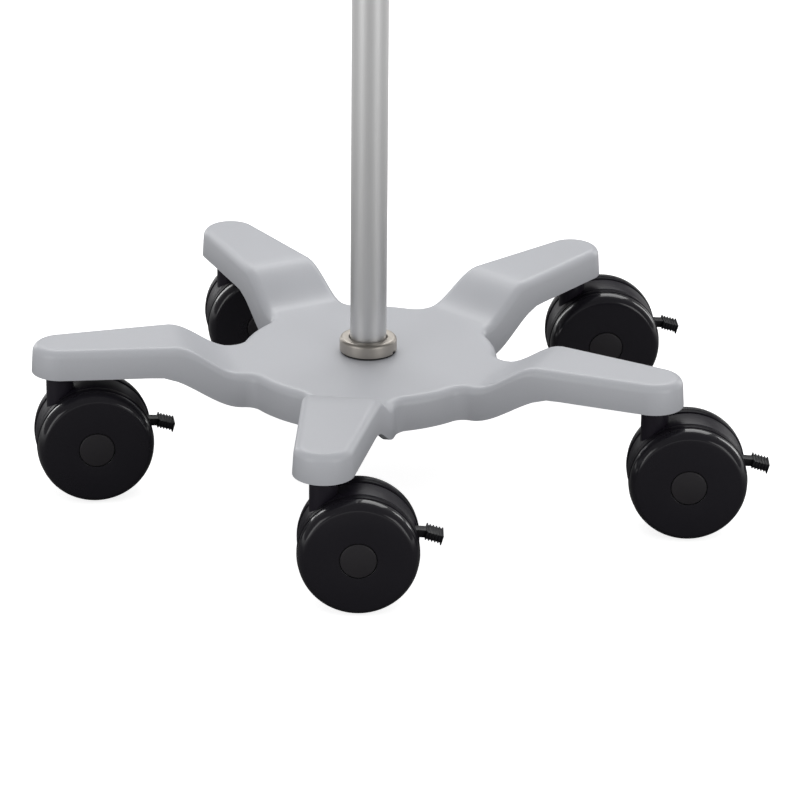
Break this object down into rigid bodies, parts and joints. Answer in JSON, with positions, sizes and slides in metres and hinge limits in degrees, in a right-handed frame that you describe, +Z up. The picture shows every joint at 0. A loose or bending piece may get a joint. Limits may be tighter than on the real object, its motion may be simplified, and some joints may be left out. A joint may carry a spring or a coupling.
{
  "type": "rolling pole stand",
  "caption": "Low cast base with radiating legs, each on a braked twin-wheel swivel caster, and a straight upright tube standing in a metal collar at the centre.",
  "frame": {"origin": "on the floor, on the axis of the pole", "axes": "+Z up along the pole; -Y along one leg, which the others follow at equal angles"},
  "size_m": [0.6419, 0.5754, 1.0839],
  "materials": {
    "powder_coat": "fine satin powder coat, light grey",
    "aluminium": "satin anodised, drawn along its length",
    "nickel": "turned and brushed, warm nickel tone",
    "steel": "plain zinc-plated steel",
    "tread": "semi-gloss dark grey tread",
    "gloss_plastic": "near-black, polished",
    "matte_plastic": "dark grey, fine texture",
    "hood_plastic": "dark violet-grey, fine texture"
  },
  "bodies": {
    "stand": {"base": "powder_coat", "pole": "aluminium", "pole_plug": "steel", "pole_bolt": "steel", "pole_washer": "steel", "pole_cap": "matte_plastic", "collar": "nickel", "collar_washer": "matte_plastic", "front_stem": "steel", "right_stem": "steel", "back_right_stem": "steel", "back_left_stem": "steel", "left_stem": "steel"},
    "front_swivel": {"front_housing": "hood_plastic", "front_axle": "steel"},
    "front_wheel_a": {"front_tyre_a": "tread", "front_wheel_a": "gloss_plastic", "front_hub_cap_a": "matte_plastic"},
    "front_wheel_b": {"front_tyre_b": "tread", "front_wheel_b": "gloss_plastic", "front_hub_cap_b": "matte_plastic"},
    "front_brake": {"front_brake_lever": "matte_plastic"},
    "right_swivel": {"right_housing": "hood_plastic", "right_axle": "steel"},
    "right_wheel_a": {"right_tyre_a": "tread", "right_wheel_a": "gloss_plastic", "right_hub_cap_a": "matte_plastic"},
    "right_wheel_b": {"right_tyre_b": "tread", "right_wheel_b": "gloss_plastic", "right_hub_cap_b": "matte_plastic"},
    "right_brake": {"right_brake_lever": "matte_plastic"},
    "back_right_swivel": {"back_right_housing": "hood_plastic", "back_right_axle": "steel"},
    "back_right_wheel_a": {"back_right_tyre_a": "tread", "back_right_wheel_a": "gloss_plastic", "back_right_hub_cap_a": "matte_plastic"},
    "back_right_wheel_b": {"back_right_tyre_b": "tread", "back_right_wheel_b": "gloss_plastic", "back_right_hub_cap_b": "matte_plastic"},
    "back_right_brake": {"back_right_brake_lever": "matte_plastic"},
    "back_left_swivel": {"back_left_housing": "hood_plastic", "back_left_axle": "steel"},
    "back_left_wheel_a": {"back_left_tyre_a": "tread", "back_left_wheel_a": "gloss_plastic", "back_left_hub_cap_a": "matte_plastic"},
    "back_left_wheel_b": {"back_left_tyre_b": "tread", "back_left_wheel_b": "gloss_plastic", "back_left_hub_cap_b": "matte_plastic"},
    "back_left_brake": {"back_left_brake_lever": "matte_plastic"},
    "left_swivel": {"left_housing": "hood_plastic", "left_axle": "steel"},
    "left_wheel_a": {"left_tyre_a": "tread", "left_wheel_a": "gloss_plastic", "left_hub_cap_a": "matte_plastic"},
    "left_wheel_b": {"left_tyre_b": "tread", "left_wheel_b": "gloss_plastic", "left_hub_cap_b": "matte_plastic"},
    "left_brake": {"left_brake_lever": "matte_plastic"}
  },
  "joints": [
    {"name": "front_swivel", "type": "hinge", "parent": "stand", "child": "front_swivel", "pos_m": [0, -0.271, 0.1016], "axis": [0, 0, 1], "continuous": true},
    {"name": "front_wheel_a_spin", "type": "hinge", "parent": "front_swivel", "child": "front_wheel_a", "pos_m": [0.02841, -0.26691, 0.0508], "axis": [-0.1426, 0.9898, 0], "continuous": true},
    {"name": "front_wheel_b_spin", "type": "hinge", "parent": "front_swivel", "child": "front_wheel_b", "pos_m": [0.02841, -0.26691, 0.0508], "axis": [-0.1426, 0.9898, 0], "continuous": true},
    {"name": "front_brake_press", "type": "hinge", "parent": "front_swivel", "child": "front_brake", "pos_m": [0.06008, -0.26234, 0.0638], "axis": [-0.1426, 0.9898, 0], "range_deg": [0, 14]},
    {"name": "right_swivel", "type": "hinge", "parent": "stand", "child": "right_swivel", "pos_m": [0.25774, -0.08374, 0.1016], "axis": [0, 0, 1], "continuous": true},
    {"name": "right_wheel_a_spin", "type": "hinge", "parent": "right_swivel", "child": "right_wheel_a", "pos_m": [0.28619, -0.08, 0.0508], "axis": [-0.1305, 0.9914, 0], "continuous": true},
    {"name": "right_wheel_b_spin", "type": "hinge", "parent": "right_swivel", "child": "right_wheel_b", "pos_m": [0.28619, -0.08, 0.0508], "axis": [-0.1305, 0.9914, 0], "continuous": true},
    {"name": "right_brake_press", "type": "hinge", "parent": "right_swivel", "child": "right_brake", "pos_m": [0.31792, -0.07582, 0.0638], "axis": [-0.1305, 0.9914, 0], "range_deg": [0, 14]},
    {"name": "back_right_swivel", "type": "hinge", "parent": "stand", "child": "back_right_swivel", "pos_m": [0.15929, 0.21924, 0.1016], "axis": [0, 0, 1], "continuous": true},
    {"name": "back_right_wheel_a_spin", "type": "hinge", "parent": "back_right_swivel", "child": "back_right_wheel_a", "pos_m": [0.18741, 0.22496, 0.0508], "axis": [-0.1994, 0.9799, 0], "continuous": true},
    {"name": "back_right_wheel_b_spin", "type": "hinge", "parent": "back_right_swivel", "child": "back_right_wheel_b", "pos_m": [0.18741, 0.22496, 0.0508], "axis": [-0.1994, 0.9799, 0], "continuous": true},
    {"name": "back_right_brake_press", "type": "hinge", "parent": "back_right_swivel", "child": "back_right_brake", "pos_m": [0.21877, 0.23134, 0.0638], "axis": [-0.1994, 0.9799, 0], "range_deg": [0, 14]},
    {"name": "back_left_swivel", "type": "hinge", "parent": "stand", "child": "back_left_swivel", "pos_m": [-0.15929, 0.21924, 0.1016], "axis": [0, 0, 1], "continuous": true},
    {"name": "back_left_wheel_a_spin", "type": "hinge", "parent": "back_left_swivel", "child": "back_left_wheel_a", "pos_m": [-0.13144, 0.22619, 0.0508], "axis": [-0.2419, 0.9703, 0], "continuous": true},
    {"name": "back_left_wheel_b_spin", "type": "hinge", "parent": "back_left_swivel", "child": "back_left_wheel_b", "pos_m": [-0.13144, 0.22619, 0.0508], "axis": [-0.2419, 0.9703, 0], "continuous": true},
    {"name": "back_left_brake_press", "type": "hinge", "parent": "back_left_swivel", "child": "back_left_brake", "pos_m": [-0.10039, 0.23393, 0.0638], "axis": [-0.2419, 0.9703, 0], "range_deg": [0, 14]},
    {"name": "left_swivel", "type": "hinge", "parent": "stand", "child": "left_swivel", "pos_m": [-0.25774, -0.08374, 0.1016], "axis": [0, 0, 1], "continuous": true},
    {"name": "left_wheel_a_spin", "type": "hinge", "parent": "left_swivel", "child": "left_wheel_a", "pos_m": [-0.23011, -0.07598, 0.0508], "axis": [-0.2706, 0.9627, 0], "continuous": true},
    {"name": "left_wheel_b_spin", "type": "hinge", "parent": "left_swivel", "child": "left_wheel_b", "pos_m": [-0.23011, -0.07598, 0.0508], "axis": [-0.2706, 0.9627, 0], "continuous": true},
    {"name": "left_brake_press", "type": "hinge", "parent": "left_swivel", "child": "left_brake", "pos_m": [-0.1993, -0.06732, 0.0638], "axis": [-0.2706, 0.9627, 0], "range_deg": [0, 14]}
  ]
}
